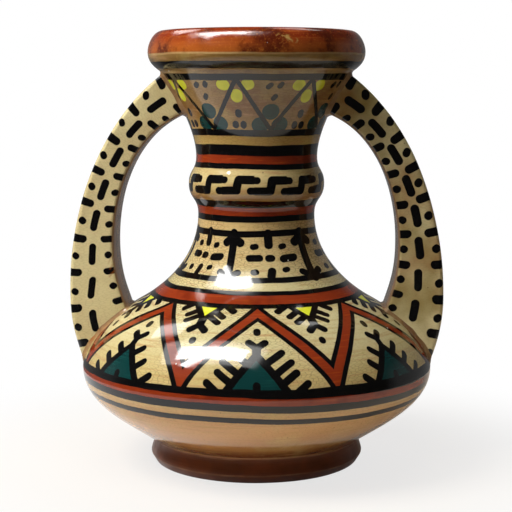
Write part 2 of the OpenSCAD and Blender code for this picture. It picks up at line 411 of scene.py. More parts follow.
def make_handle(name, side):
    """A strap: its face is lofted between the outlines, thickened and edge-rounded."""
    mesh = bmesh.new()
    bmesh.ops.create_grid(mesh, x_segments=STRAP_STEPS, y_segments=STRAP_ACROSS, size=0.5)
    for vert in mesh.verts:
        along = vert.co.x + 0.5
        across = round((vert.co.y + 0.5) * STRAP_ACROSS) / STRAP_ACROSS

        def long_line(u, share=across):
            inner, outer = across_strap(u)
            middle = inner.lerp(outer, share)
            return Vector((middle.x, handle_w / 2, middle.y))

        top_u = wall_crossing(long_line, 0, CLEAR_TOP_U, ROOT_DEPTH)
        low_u = wall_crossing(long_line, 1, CLEAR_LOW_U, ROOT_DEPTH)
        place = long_line(top_u + (low_u - top_u) * along)
        vert.co = Vector((side * place.x, -handle_w / 2, place.z)) * MM
    skin = bmesh.ops.extrude_face_region(mesh, geom=mesh.faces[:], use_keep_orig=True)
    bmesh.ops.translate(mesh, verts=grown_parts(skin, bmesh.types.BMVert), vec=(0, handle_w * MM, 0))
    bmesh.ops.recalc_face_normals(mesh, faces=mesh.faces[:])
    long_edges = []
    for edge in mesh.edges:
        faces = edge.link_faces
        if len(faces) == 2 and edge.calc_face_angle() > math.radians(FOLD_ANGLE):
            if not any(len(face.verts) == 4 and is_root(face) for face in faces):
                long_edges.append(edge)
    break_edges(mesh, long_edges, HANDLE_EDGE, EDGE_STEPS)
    measure_strap(mesh)
    return piece(name, mesh)


def grown_parts(grown, kind):
    return [part for part in grown["geom"] if isinstance(part, kind)]


def is_root(face):
    """Whether a face of a strap closes one of its ends, inside the wall."""
    middle = face.calc_center_median() / MM
    return math.hypot(middle.x, handle_w / 2) < wall_r(middle.z) - ROOT_DEPTH / 2


STRAP_LAYERS = ("along", "from_inner", "from_outer")


def measure_strap(mesh):
    """Gives each point of a strap its distance along it, and from its inner and outer edges."""
    edges = [across_strap(i / STRAP_SAMPLES) for i in range(STRAP_SAMPLES + 1)]
    middles = [(inner + outer) / 2 for inner, outer in edges]
    lengths = [0.0, *accumulate((b - a).length for a, b in zip(middles, middles[1:]))]
    trees = []
    for line in (middles, *zip(*edges)):
        tree = KDTree(len(line))
        for i, point in enumerate(line):
            tree.insert((point.x, 0, point.y), i)
        tree.balance()
        trees.append(tree)
    layers = [mesh.verts.layers.float.new(name) for name in STRAP_LAYERS]
    for vert in mesh.verts:
        flat = (abs(vert.co.x) / MM, 0, vert.co.z / MM)
        middle, inner, outer = [tree.find(flat) for tree in trees]
        for layer, value in zip(layers, (lengths[middle[1]], inner[2], outer[2])):
            vert[layer] = value


def strap_section(thick, turn):
    """A point of a strap's rounded section at a turn of 0 to 1: its distance from the inner edge, and y."""
    sides = (thick - 2 * HANDLE_EDGE, handle_w - 2 * HANDLE_EDGE) * 2
    bend = math.pi / 2 * HANDLE_EDGE
    left = turn * (sum(sides) + 4 * bend)
    corner = Vector((HANDLE_EDGE, -handle_w / 2))
    way = Vector((1, 0))
    for side_length in sides:
        if left <= side_length:
            return corner + way * left
        left -= side_length
        centre = corner + way * side_length - outward(way) * HANDLE_EDGE
        turned_way = Matrix.Rotation(min(left, bend) / HANDLE_EDGE, 2) @ way
        place = centre + outward(turned_way) * HANDLE_EDGE
        if left <= bend:
            return place
        left -= bend
        corner = place
        way = turned_way
    return corner


def on_strap(u, turn):
    inner, outer = across_strap(u)
    section = strap_section((outer - inner).length, turn)
    flat = inner + (outer - inner).normalized() * section.x
    return Vector((flat.x, section.y, flat.y))


def square_to(way, other):
    return (way - other * way.dot(other)).normalized()


def wall_normal(place):
    step = 0.5
    rise = (wall_r(place.z + step) - wall_r(place.z - step)) / (2 * step)
    level = Vector((place.x, place.y)).normalized()
    return Vector((level.x, level.y, -rise)).normalized()


# A luting's legs along wall and strap, their unevenness and its wave, how deep its back and its edges
# lie in the clay, the share of a leg that its hollow keeps, and a step in u that shows the strap's way
LUTE_LEG = 1.9
LUTE_UNEVEN = 0.7
LUTE_WAVE = 7
LUTE_SINK = 0.4
LUTE_BED = 0.05
LUTE_HOLLOW = 0.25
LUTE_STEP = 0.01


def make_luting(name, side, inside_u, outside_u):
    """A smeared fillet of luting clay round one root of a handle."""
    mesh = bmesh.new()
    bmesh.ops.create_circle(mesh, segments=LUTING_STEPS, radius=1)
    verts = mesh.verts[:]
    roots = []
    for i in range(LUTING_STEPS):
        turn = i / LUTING_STEPS
        u = wall_crossing(lambda v: on_strap(v, turn), inside_u, outside_u)
        roots.append((u, on_strap(u, turn)))
    middle = sum((root for _, root in roots), Vector()) / LUTING_STEPS
    rows = []
    for i, (u, root) in enumerate(roots):
        normal = wall_normal(root)
        step = LUTE_STEP if outside_u > inside_u else -LUTE_STEP
        strap_way = (on_strap(u + step, i / LUTING_STEPS) - root).normalized()
        loop_way = roots[(i + 1) % LUTING_STEPS][1] - roots[i - 1][1]
        strap_normal = strap_way.cross(loop_way).normalized()
        if strap_normal.dot(root - middle) < 0:
            strap_normal = -strap_normal
        leg = LUTE_LEG + LUTE_UNEVEN * noise.noise(root / LUTE_WAVE)
        on_wall = root + square_to(strap_normal, normal) * leg
        level = Vector((on_wall.x, on_wall.y)).normalized() * wall_r(on_wall.z)
        on_wall = Vector((level.x, level.y, on_wall.z)) - normal * LUTE_BED
        up_strap = root + square_to(normal, strap_normal) * leg - strap_normal * LUTE_BED
        root_corner = root + normal * LUTE_HOLLOW * leg + strap_normal * LUTE_HOLLOW * leg
        row = []
        for k in range(FILLET_STEPS + 1):
            t = k / FILLET_STEPS
            row.append(on_wall * (1 - t) ** 2 + root_corner * 2 * t * (1 - t) + up_strap * t * t)
        row.append(root - normal * LUTE_SINK - strap_normal * LUTE_SINK)
        rows.append([Vector((side * point.x, point.y, point.z)) * MM for point in row])
    rims = [mesh.edges[:]]
    for k in range(FILLET_STEPS + 2):
        if k > 0:
            grown = bmesh.ops.extrude_edge_only(mesh, edges=rims[-1])
            new_verts = grown_parts(grown, bmesh.types.BMVert)
            new_edges = grown_parts(grown, bmesh.types.BMEdge)
            rims.append([edge for edge in new_edges if all(v in new_verts for v in edge.verts)])
            verts = in_step(verts, new_verts)
        for vert, row in zip(verts, rows):
            vert.co = row[k]
    bmesh.ops.bridge_loops(mesh, edges=rims[0] + rims[-1])
    bmesh.ops.recalc_face_normals(mesh, faces=mesh.faces[:])
    return piece(name, mesh, LUTING_SHARP_ANGLE)


def in_step(verts, new_verts):
    """New vertices in the order of the ones that they were drawn out from."""
    fresh = set(new_verts)
    others = [edge.other_vert(vert) for vert in verts for edge in vert.link_edges]
    return [other for other in others if other in fresh]


# Shader maths: a wire is a socket of a node tree, and operators on it add Math nodes
class Wire:
    def __init__(self, tree, socket=None):
        self.tree = tree
        self.socket = socket

    def node(self, kind, inputs=None, output=0, **settings):
        """Adds a node: its settings first, then the values or links of its sockets."""
        made = self.tree.nodes.new("ShaderNode" + kind)
        for name, value in settings.items():
            setattr(made, name, value)
        for name, value in (inputs or {}).items():
            if isinstance(value, Wire):
                self.tree.links.new(value.socket, made.inputs[name])
            else:
                made.inputs[name].default_value = value
        return Wire(self.tree, made.outputs[output] if len(made.outputs) else None)

    def also(self, output):
        """Another output of the same node."""
        return Wire(self.tree, self.socket.node.outputs[output])

    def parts(self):
        """The x of a vector, whose y and z are also there."""
        return self.node("SeparateXYZ", {0: self})

    def maths(self, operation, *others, clamp=False):
        return self.node("Math", dict(enumerate((self, *others))), operation=operation, use_clamp=clamp)

    def vector(self, operation, *others, output=0):
        return self.node("VectorMath", dict(enumerate((self, *others))), output, operation=operation)

    def __rsub__(self, other):
        return self.node("Math", {0: other, 1: self}, operation="SUBTRACT")

    def __abs__(self):
        return self.maths("ABSOLUTE")

    __add__ = __radd__ = partialmethod(maths, "ADD")
    __sub__ = partialmethod(maths, "SUBTRACT")
    __mul__ = __rmul__ = partialmethod(maths, "MULTIPLY")
    __truediv__ = partialmethod(maths, "DIVIDE")


def srgb(red, green, blue):
    """A colour on a screen, 0 to 255, as the linear colour that a shader takes."""
    linear = []
    for value in (red, green, blue):
        share = value / 255
        linear.append(share / 12.92 if share <= 0.04045 else ((share + 0.055) / 1.055) ** 2.4)
    return (*linear, 1)


def mixed(factor, first, second):
    """Colour mix: first where factor is 0, second where it is 1."""
    return factor.node("Mix", {0: factor, 6: first, 7: second}, 2, data_type="RGBA")


def ramped(value, low, high, from_value=0.0, to_value=1.0):
    """Smooth step of a value from low to high."""
    inputs = {"Value": value, "From Min": low, "From Max": high, "To Min": from_value, "To Max": to_value}
    return value.node("MapRange", inputs, interpolation_type="SMOOTHSTEP")


def tinted(colour, tint, value, low, high, least=0.0, most=1.0):
    """A colour with the least to the most of a tint, by a smooth step."""
    return mixed(ramped(value, low, high, least, most), colour, tint)


def within(distance, soft=0.22):
    """Mask of a shape's inside, from the distance to its edge."""
    return distance.maths("MULTIPLY_ADD", -1 / soft, 0.5, clamp=True)


def noisy(vector, scale, detail=2.0, roughness=0.5, shift=None, output=0):
    """Cloudy noise. A shift gives another of its kind, and output 1 a colour."""
    place = vector.vector("ADD", shift) if shift else vector
    inputs = {"Vector": place, "Scale": scale, "Detail": detail, "Roughness": roughness}
    return vector.node("TexNoise", inputs, output)


def by_chance(number, output=0):
    """A random value for each number, or with output 1 a random colour."""
    return number.node("TexWhiteNoise", {"W": number}, output, noise_dimensions="1D")


def spread(colour, reach):
    """A vector within a reach of zero each way, from a noise's colour."""
    parts = colour.node("SeparateColor", {0: colour})
    vector = colour.node("CombineXYZ", {0: parts, 1: parts.also("Green"), 2: parts.also("Blue")})
    return vector.vector("MULTIPLY_ADD", (2 * reach,) * 3, (-reach,) * 3)


class Paints:
    """The paints on a piece: for each, the distance to its nearest mark."""

    def __init__(self):
        self.nearest = {}

    def mark(self, paint, distance):
        known = self.nearest.get(paint)
        self.nearest[paint] = distance if known is None else known.maths("MINIMUM", distance)

    def strokes(self, paint, spot, marks):
        """Strokes by angle and rise of their start, angle and rise of their end, and half a width."""
        for *ends, half_width in marks:
            self.mark(paint, stroke(spot, *ends_of(ends), half_width))

    def cover(self, brush, colour):
        """Lays the paints on a ground, each over the ones before it in POTS."""
        for paint, tones in POTS.items():
            if paint in self.nearest:
                colour = brushed(brush, within(self.nearest[paint]), colour, *tones)
        return colour


def new_material(name):
    material = bpy.data.materials.new(name)
    material.use_nodes = True
    material.node_tree.nodes.clear()
    return material


# How far the hand wanders, how far each motif strays, and the seeds of the chance in motifs and ticks
WANDER = 1.2
JITTER = 0.6
MOTIF_SEED = 0.37
TICK_SEED = 7.3
DEGREE = math.pi / 180
GLAZE_IOR = 1.58
SWELL_DEPTH = 0.4


class Brush:
    """The material of a piece, and a painter's places on it."""

    def __init__(self, name):
        self.material = new_material(name)
        self.wire = Wire(self.material.node_tree)
        self.object = self.wire.node("TexCoord", output="Object")
        self.rise = self.attribute("rise")
        self.radius = self.object.vector("MULTIPLY", (1 / MM, 1 / MM, 0)).vector("LENGTH", output=1)
        parts = self.object.parts()
        self.angle = parts.maths("ARCTAN2", parts.also("Y") * -1) * (1 / DEGREE)
        self.wander = spread(self.noise(24, 4, output=1), WANDER)

    def attribute(self, name):
        return self.wire.node("Attribute", output=2, attribute_name=name)

    def noise(self, *settings, **more):
        return noisy(self.object, *settings, **more)

    def streaks(self, stretch, scale, detail=3, roughness=0.6, shift=None):
        """Noise drawn out round the axis."""
        return noisy(self.flat(self.angle / stretch, self.rise), scale, detail, roughness, shift)

    def gloss(self, scale, low, high):
        """Patchy roughness of the glaze."""
        return ramped(self.noise(scale, 3), 0.35, 0.75, low, high)

    def flat(self, x, y):
        return x.node("CombineXYZ", {0: x, 1: y})

    def flat_x(self, turn):
        """Degrees round the axis as millimetres along the surface."""
        return (turn * DEGREE).maths("MULTIPLY", self.radius)

    def spot(self, x, rise, number=None):
        """A place, with the wander of the hand, and a motif's jitter by its number."""
        wandered = self.flat(x, rise).vector("ADD", self.wander)
        if number is None:
            return wandered
        return wandered.vector("ADD", spread(by_chance(number + MOTIF_SEED, 1), JITTER))

    def height(self):
        """The rise, with the wander of the hand."""
        return self.spot(self.rise, self.rise).parts().also("Y")

    def mirrored(self, spot):
        """A place folded on a motif's middle line."""
        parts = spot.parts()
        return self.flat(abs(parts), parts.also("Y"))

    def motif(self, ring, between=False, steady=False):
        """The place from the middle of a ring's nearest motif, or gap between two, and the motif's number.
        A steady motif has no jitter of its own."""
        period, shift, sway, sway_shift = ring
        swayed = ((self.angle + sway_shift) * DEGREE).maths("SINE") * sway
        turns = (self.angle + swayed + (shift + period / 2 if between else shift)) / period
        number = (turns + 0.5).maths("FLOOR")
        x = self.flat_x((turns - number) * period)
        return self.spot(x, self.rise, None if steady else number), number

    def glaze(self, colour, roughness, swell, bump=0.25, ior=GLAZE_IOR):
        """Ends the material: its colour, its gloss and the swell of its skin."""
        normal = self.wire.node("Bump", {"Strength": bump, "Distance": SWELL_DEPTH * MM, "Height": swell})
        inputs = {"Base Color": colour, "Roughness": roughness, "Normal": normal, "IOR": ior}
        shader = self.wire.node("BsdfPrincipled", inputs)
        self.wire.node("OutputMaterial", {"Surface": shader})
        return self.material


def stroke(spot, start, end, half_width):
    """Distance to a round-ended stroke of the brush."""
    run = Vector(end) - Vector(start)
    share = run / run.length_squared
    from_start = spot.vector("SUBTRACT", (*start, 0))
    t = from_start.vector("DOT_PRODUCT", (*share, 0), output=1).maths("ADD", 0.0, clamp=True)
    way = t.node("VectorMath", {0: (*run, 0), "Scale": t}, operation="SCALE")
    return from_start.vector("DISTANCE", way, output=1) - half_width


# How far ticks stray along their edge, and in length
TICK_STRAY = 1.6
TICK_LENGTH_STRAY = 2.2


def tick_row(spot, number, edge, first, gap, last, length, half_width):
    """Distance to ticks that stand square on a slanting edge: at first, first + gap and so on along it,
    up to the last by count from 0."""
    foot = Vector(edge[0])
    along_way = (Vector(edge[1]) - foot).normalized()
    out_way = Vector((abs(along_way.y), -along_way.x if along_way.y > 0 else along_way.x))
    from_foot = spot.vector("SUBTRACT", (*foot, 0))
    along = from_foot.vector("DOT_PRODUCT", (*along_way, 0), output=1) - first
    out = from_foot.vector("DOT_PRODUCT", (*out_way, 0), output=1)
    count = (along / gap + 0.5).maths("FLOOR").maths("MAXIMUM", 0).maths("MINIMUM", last)
    chance = by_chance(count + number * TICK_SEED) - 0.5
    off = along - count * gap + chance * TICK_STRAY
    end = length + chance * TICK_LENGTH_STRAY
    past = out - out.maths("MAXIMUM", 0).maths("MINIMUM", end)
    return (off * off + past * past).maths("SQRT") - half_width


course_rises = [pair[1] for pair in wall_course]


def course_radius(rise):
    i = min(bisect_right(course_rises, rise), len(wall_course) - 1)
    return wall_course[i][0].x


def at(degrees, rise):
    """A place by its angle from a motif's middle and its rise."""
    return (math.radians(degrees) * course_radius(rise), rise)


def ends_of(edge):
    """The two ends of an edge, which is given like a stroke without its width."""
    return at(*edge[:2]), at(*edge[2:])


# Colours of the slips and glazes
PEACH = srgb(226, 194, 138)
# The handles' cream is a little lighter than the body's, as painted light on them
LIT_STRAP_CREAM = srgb(238, 223, 170)
STRAW = srgb(214, 198, 122)
CRAZE = srgb(120, 84, 50)
SPECK = srgb(92, 56, 32)
OCHRE = srgb(186, 150, 82)
TAN = srgb(202, 152, 102)
OLIVE = srgb(160, 134, 66)
RUST = srgb(172, 114, 58)
PINHOLE = srgb(240, 236, 226)
FOOT_BROWN = srgb(106, 60, 36)
FOOT_RED = srgb(128, 70, 42)
BARE_CLAY = srgb(150, 104, 74)
RIM_RED = srgb(140, 48, 18)
RIM_ORANGE = srgb(204, 116, 46)
RIM_DARK = srgb(84, 28, 12)
RIM_EDGE = srgb(206, 172, 118)
STRAP_SIDE = srgb(156, 124, 94)
STAIN = srgb(168, 92, 36)
LUTING_PALE = srgb(176, 142, 98)
LUTING_DARK = srgb(128, 92, 62)

# What each paint is laid with: its own tone, where it is thin, and where it pools
POTS = {
    "yellow": (srgb(236, 238, 58), srgb(236, 238, 58), srgb(214, 214, 46)),
    "green": (srgb(13, 59, 58), srgb(24, 76, 72), srgb(13, 59, 58)),
    "red": (srgb(150, 55, 25), srgb(184, 76, 24), srgb(116, 34, 16)),
    "black": (srgb(11, 10, 11), srgb(24, 21, 23), srgb(11, 10, 11)),
}

# Ground colours from the foot to the inside: the rise, then red, green and blue on a screen
# The browner stops from 18.2 to 30, from 164 to 197 up the neck into the waist, and from 248 to 280 under
# the rim are the slip's tone with painted shade
# The pale stops at 15 and 17.4 are pale clay at the bowl's foot, with a painted highlight on that edge
GROUND = (
    (15, 186, 138, 106), (17.4, 186, 138, 106), (18.2, 112, 66, 40), (22, 130, 80, 48),
    (30, 180, 130, 78), (44, 208, 156, 96), (62, 216, 170, 113), (72, 216, 186, 132),
    (84, 216, 194, 130), (104, 226, 213, 160), (142, 226, 213, 160), (164, 226, 200, 142),
    (180, 222, 192, 132), (190, 206, 172, 112), (197, 160, 114, 64), (203, 212, 184, 126),
    (207, 226, 204, 146), (228, 194, 161, 93), (248, 148, 104, 57), (268, 146, 114, 68),
    (280, 144, 108, 57), (300, 160, 112, 68), (350, 148, 102, 64),
)
GROUND_REACH = 360


def ground(brush):
    """The slip under the paint: its tint by height, with painted shade and a painted highlight in some
    bands, cloudy patches and streaks of the wheel.
    """
    colour = brush.wire.node("ValToRGB", {0: brush.rise / GROUND_REACH})
    elements = colour.socket.node.color_ramp.elements
    for rise, *_ in GROUND[2:]:
        elements.new(rise / GROUND_REACH)
    for element, (rise, *screen) in zip(elements, GROUND):
        element.position = rise / GROUND_REACH
        element.color = srgb(*screen)
    colour = tinted(colour, STRAW, brush.noise(34, 3, 0.55), 0.5, 0.75, 0, 0.4)
    colour = tinted(colour, PEACH, brush.noise(26, 3, 0.55, (0.7, 0.2, 0.4)), 0.5, 0.75, 0, 0.42)
    colour = tinted(colour, OCHRE, brush.streaks(10, 0.55), 0.5, 0.74, 0, 0.55)
    colour = tinted(colour, TAN, brush.streaks(10, 0.4, shift=(40, 70, 0)), 0.52, 0.72, 0, 0.6)
    return tinted(colour, OCHRE, brush.noise(380, 3, 0.65), 0.5, 0.8, 0, 0.35)


# Crazing runs aslant: its turn in radians, its scale along and across, its bends and its lines' width
CRAZE_TURN = 0.75
CRAZE_SCALE = (0.3, 0.85, 1)
CRAZE_BEND = 0.5
CRAZE_LINE = 0.11


def crazed(brush, skin, colour, strength):
    """Fine slanting crazing of a skin laid flat, with specks in the clay."""
    slant = skin.node("Mapping", {"Vector": skin, "Rotation": (0, 0, CRAZE_TURN), "Scale": CRAZE_SCALE})
    bent = slant.vector("ADD", spread(brush.noise(90, output=1), CRAZE_BEND))
    inputs = {"Vector": bent, "Scale": 1.0}
    crack = bent.node("TexVoronoi", inputs, feature="DISTANCE_TO_EDGE", voronoi_dimensions="2D")
    line = ramped(crack, 0.0, CRAZE_LINE, 1, 0) * ramped(brush.noise(18), 0.38, 0.6, 0.12, strength)
    return mixed(dotted(brush, 210, 0.12, 0.86) * 0.55, mixed(line, colour, CRAZE), SPECK)


def dotted(brush, scale, size, chosen):
    """Mask of small dots, one in each cell that is chosen by chance."""
    cell = brush.object.node("TexVoronoi", {"Vector": brush.object, "Scale": scale})
    chance = cell.node("SeparateColor", {0: cell.also("Color")})
    return ramped(cell, size / 2, size, 1, 0) * ramped(chance, chosen, chosen + 0.01)


def pinholes(brush, colour):
    """Sparse white pinholes where the glaze has burst."""
    return mixed(dotted(brush, 110, 0.06, 0.82) * 0.85, colour, PINHOLE)


def brushed(brush, mask, colour, paint, thin, deep):
    """Lays a paint on a ground, thicker and thinner along the brush's way."""
    tone = tinted(paint, thin, brush.streaks(14, 0.8), 0.5, 0.78)
    tone = tinted(tone, deep, brush.noise(70), 0.5, 0.75, 0, 0.8)
    return mixed(mask, colour, tone)


# Lines round the body, by rise: from, to
BLACK_LINES = (
    (61.4, 64.9), (68.5, 72.4), (76.0, 79.3),
    (131.2, 134.4), (140.6, 143.6), (149.0, 152.6),
    (175.5, 179.0), (183.4, 186.9), (191.3, 195.7),
    (213.4, 216.5), (220.7, 226.5), (231.4, 235.2),
    (264.4, 268.4), (271.9, 277.2),
)
RED_LINES = ((72.0, 76.4), (133.8, 141.2), (186.3, 191.7), (216.3, 221.0))
# How low the lines round the belly lie: at the front, and more at the right. This fades on the shoulder
RING_DROP = 0.85
RING_SLANT = 1.9
RING_FADE = (84, 128)
# How far past its seams a section draws lines
SEAM_SPARE = 3


def lines_round(paints, paint, height, lines, span):
    """Marks the lines round a piece that lie within its span of rise."""
    for low, high in lines:
        if high > span[0] and low < span[1]:
            paints.mark(paint, abs(height - (low + high) / 2) - (high - low) / 2)


# Rings of motifs: their period and their shift, and the size and the shift of their sway, in degrees
SHOULDER_RING = (360 / 7, -2.6, 3.2, 0)
PANEL_RING = (60, 6.6, 11.8, 102)
FRET_RING = (360 / 13, -14, 0, 0)
MOUTH_RING = (360 / 7, 11.6, 3.2, 0)
# The zigzag: its base line, its span and its turns by rise, its bend, the cosine of its slope,
# half its red, half its black lines and how far the red goes under them
ZIGZAG_BASE = (76.4, 79.5)
ZIGZAG_SPAN = (77.4, 131.8)
ZIGZAG_LOW = 83.0
ZIGZAG_HIGH = 127.8
ZIGZAG_BEND = 0.43
ZIGZAG_LEAN = 0.79
ZIGZAG_RED = 2.35
ZIGZAG_LINE = 1.3
ZIGZAG_LAP = 0.1
FERN_EDGE = (9.7, 78.8, 0, 98.6)
FERN_LOW = 77.6
HANGING_EDGE = (7.9, 132.6, 0, 121.6)
HANGING_HIGH = 133


def zigzag_motif(brush, paints):
    """Red zigzag round the shoulder, outlined in black, on its base line."""
    spot, _ = brush.motif(SHOULDER_RING, steady=True)
    across = spot.parts()
    rise = across.also("Y")
    share = (rise - ZIGZAG_LOW) / (ZIGZAG_HIGH - ZIGZAG_LOW)
    half = brush.radius * math.radians(SHOULDER_RING[0] / 2)
    middle = half * (1 - (1 - ZIGZAG_BEND) * share - share * share * ZIGZAG_BEND)
    off = abs((abs(across) - middle) * ZIGZAG_LEAN)
    limit = (rise - ZIGZAG_SPAN[1]).maths("MAXIMUM", ZIGZAG_SPAN[0] - rise)
    paints.mark("red", (off - ZIGZAG_RED - ZIGZAG_LAP).maths("MAXIMUM", limit))
    line = abs(off - ZIGZAG_RED - ZIGZAG_LINE) - ZIGZAG_LINE
    paints.mark("black", line.maths("MAXIMUM", limit))
    lines_round(paints, "black", rise, (ZIGZAG_BASE,), ZIGZAG_BASE)


def wedge(spot, foot, peak):
    """Distance to the slanting side of a triangle, from its foot to its peak."""
    way = (Vector(peak) - Vector(foot)).normalized()
    return spot.vector("SUBTRACT", (*foot, 0)).vector("DOT_PRODUCT", (abs(way.y), -way.x, 0), output=1)


def fern_motif(brush, paints):
    """A green triangle in each upward point of the zigzag, with the black strokes of a fern.
    The front one has more and longer strokes than the rest."""
    spot, number = brush.motif(SHOULDER_RING)
    fern = brush.mirrored(spot)
    bold = ramped(abs(number), 0.2, 0.8, 1, 0)
    edge = ends_of(FERN_EDGE)
    paints.mark("green", wedge(fern, *edge))
    paints.strokes("black", fern, (
        (*FERN_EDGE, 2.0),
        (0, 78.8, 0, 81.4, 2.1),
        (0, 97.6, 0, 103.2, 2.4),
        (0, 102.8, 3.0, 106.2, 2.15),
        (0, 112.8, 0, 114.0, 2.0),
    ))
    ticks = tick_row(fern, number, edge, -1 - bold * 3, 9.5 - bold * 1.9, 2 + bold, 7.2 + bold * 3, 2.15)
    paints.mark("black", ticks.maths("MAXIMUM", FERN_LOW - fern.parts().also("Y")))


def hanging_motif(brush, paints):
    """A yellow triangle in each downward point of the zigzag, with its own strokes."""
    spot, number = brush.motif(SHOULDER_RING, between=True)
    hanging = brush.mirrored(spot)
    edge = ends_of(HANGING_EDGE)
    over = hanging.parts().also("Y") - HANGING_HIGH
    below = wedge(hanging.vector("MULTIPLY", (1, -1, 0)), *[(x, -rise) for x, rise in edge])
    paints.mark("yellow", below.maths("MAXIMUM", over))
    paints.strokes("black", hanging, (
        (*HANGING_EDGE, 1.85),
        (0, 121.6, 0, 117.6, 2.6),
        (0, 117.6, 3.3, 113.6, 2.15),
        (0, 106.2, 0, 106.9, 2.0),
    ))
    ticks = tick_row(hanging, number, edge, -1.2, 5.6, 2, 8.0, 1.85)
    paints.mark("black", ticks.maths("MAXIMUM", over))


def panel_motif(brush, paints):
    """Columns between two lines on the neck, with a cluster of dots and dashes in each bay."""
    column, _ = brush.motif(PANEL_RING)
    paints.strokes("black", brush.mirrored(column), (
        (0, 151, 0, 178, 2.25),
        (0, 176.0, 7.0, 172.6, 2.3),
        (0, 174.4, 4, 173.6, 2.2),
        (0, 152.2, 7.0, 155.4, 2.05),
        (0, 152.0, 3.6, 152.8, 2.2),
    ))
    bay, _ = brush.motif(PANEL_RING, between=True)
    paints.strokes("black", bay, (
        (0.6, 178, 0.6, 171.6, 2.25),
        (-12.4, 170.8, -10.2, 171.0, 1.75),
        (11.0, 170.6, 12.8, 170.8, 1.65),
        (-15.2, 164.5, -7.6, 164.6, 2.05),
        (-0.2, 164.4, 2.0, 164.4, 2.0),
        (11.6, 163.8, 19.6, 164.2, 2.2),
        (-11.8, 156.2, -10.4, 156.5, 1.8),
        (0.2, 153.6, 1.2, 157.0, 2.15),
        (11.0, 157.4, 12.4, 157.6, 1.6),
    ))


def meander_motif(brush, paints):
    """Running fret round the collar: a riser, with bars left of its foot and right of its head."""
    riser, _ = brush.motif(FRET_RING, steady=True)
    paints.strokes("black", riser, (
        (-0.8, 201.8, 0.6, 206.8, 2.4),
        (-13.0, 201.4, -0.6, 201.6, 2.25),
        (0.8, 207.3, 13.0, 207.5, 2.4),
    ))
    gap, _ = brush.motif(FRET_RING, between=True, steady=True)
    paints.strokes("black", gap, (
        (-3, 207.5, 2.2, 207.2, 2.0),
        (-3.0, 201.4, 3, 201.4, 2.0),
    ))


def mouth_motif(brush, paints):
    """Zigzag round the mouth with yellow flowers above and green trefoils below."""
    zigzag, _ = brush.motif(MOUTH_RING, steady=True)
    paints.strokes("black", brush.mirrored(zigzag), ((0, 265.4, 24.6, 236.4, 1.3),))
    spot, _ = brush.motif(MOUTH_RING)
    flower = brush.mirrored(spot)
    paints.strokes("black", flower, (
        (0, 244.2, 0, 245.4, 1.9),
        (3.4, 237.8, 3.4, 238.6, 1.85),
    ))
    paints.strokes("yellow", flower, (
        (7.6, 261.8, 8.8, 262.1, 3.3),
        (0, 254.6, 0, 256.0, 3.3),
    ))
    leaf, _ = brush.motif(MOUTH_RING, between=True)
    paints.strokes("green", brush.mirrored(leaf), (
        (0, 245.8, 0.8, 246.4, 4.3),
        (7.6, 238.2, 8.8, 238.8, 4.3),
    ))
    paints.strokes("black", leaf, (
        (-3.4, 261.0, -1.8, 262.2, 1.55),
        (4.2, 261.4, 5.2, 262.8, 1.5),
        (1.0, 254.0, 2.2, 255.2, 1.5),
    ))


def painted_glaze(section, name, motifs, crazing):
    """Cream slip with painted lines and motifs under a clear crazed glaze."""
    brush = Brush(name)
    span = (outside[section][0][1] - SEAM_SPARE, outside[section][-1][1] + SEAM_SPARE)
    paints = Paints()
    slant = (brush.angle * DEGREE).maths("SINE") * RING_SLANT + RING_DROP
    height = brush.height() + slant * ramped(brush.rise, *RING_FADE, 1, 0)
    lines_round(paints, "black", height, BLACK_LINES, span)
    lines_round(paints, "red", height, RED_LINES, span)
    for motif in motifs:
        motif(brush, paints)
    skin = brush.flat(brush.flat_x(brush.angle), brush.rise)
    colour = paints.cover(brush, crazed(brush, skin, ground(brush), crazing))
    return brush.glaze(pinholes(brush, colour), brush.gloss(130, 0.06, 0.15), brush.noise(46, 4, 0.45))


# Rises on the rim: where its iron glaze begins and ends, where it is orange, its pale lower edge with
# half its width, and the span of its lines; then a flake in the glaze, as an edge and half a width
IRON_BEGINS = (281.2, 282.4)
IRON_ENDS = (312, 322)
IRON_ORANGE = (282, 292)
PALE_EDGE = 281.5
PALE_EDGE_HALF = 0.45
RIM_SPAN = (268, 300)
FLAKE = (13.5, 290.6, 22, 288.4)
FLAKE_HALF = 1.5
RIM_IOR = 1.52


def rim_glaze():
    """Iron-red glaze of the rim, mottled and streaked, over the cream underside."""
    brush = Brush("rim_glaze")
    height = brush.height()
    iron = tinted(RIM_RED, RIM_ORANGE, brush.streaks(22, 0.7, 4, 0.65), 0.45, 0.8, 0, 0.45)
    iron = tinted(iron, RIM_ORANGE, height, *IRON_ORANGE, 0.55, 0)
    cloud = brush.noise(60, 4, 0.65)
    iron = tinted(iron, RIM_DARK, cloud, 0.46, 0.68, 0, 0.9)
    iron = tinted(iron, RIM_ORANGE, brush.noise(900, 2, 0.6), 0.52, 0.75, 0, 0.45)
    top = ramped(height, *IRON_BEGINS) * ramped(height, *IRON_ENDS, 1, 0)
    # Below the iron glaze the ground's colours show, with their painted shade under the rim
    colour = mixed(top, ground(brush), iron)
    edge = within(abs(height - PALE_EDGE) - PALE_EDGE_HALF, 0.5) * ramped(cloud, 0.35, 0.6, 1, 0.45)
    colour = mixed(edge, colour, RIM_EDGE)
    flake = stroke(brush.spot(brush.flat_x(brush.angle), brush.rise), *ends_of(FLAKE), FLAKE_HALF)
    flake = within(flake, 1.4) * ramped(brush.noise(320, 3, 0.6), 0.42, 0.6)
    colour = mixed(flake, colour, OCHRE)
    paints = Paints()
    lines_round(paints, "black", height, BLACK_LINES, RIM_SPAN)
    colour = pinholes(brush, paints.cover(brush, colour))
    return brush.glaze(colour, brush.gloss(160, 0.09, 0.26), brush.noise(90, 6, 0.62), 0.6, RIM_IOR)


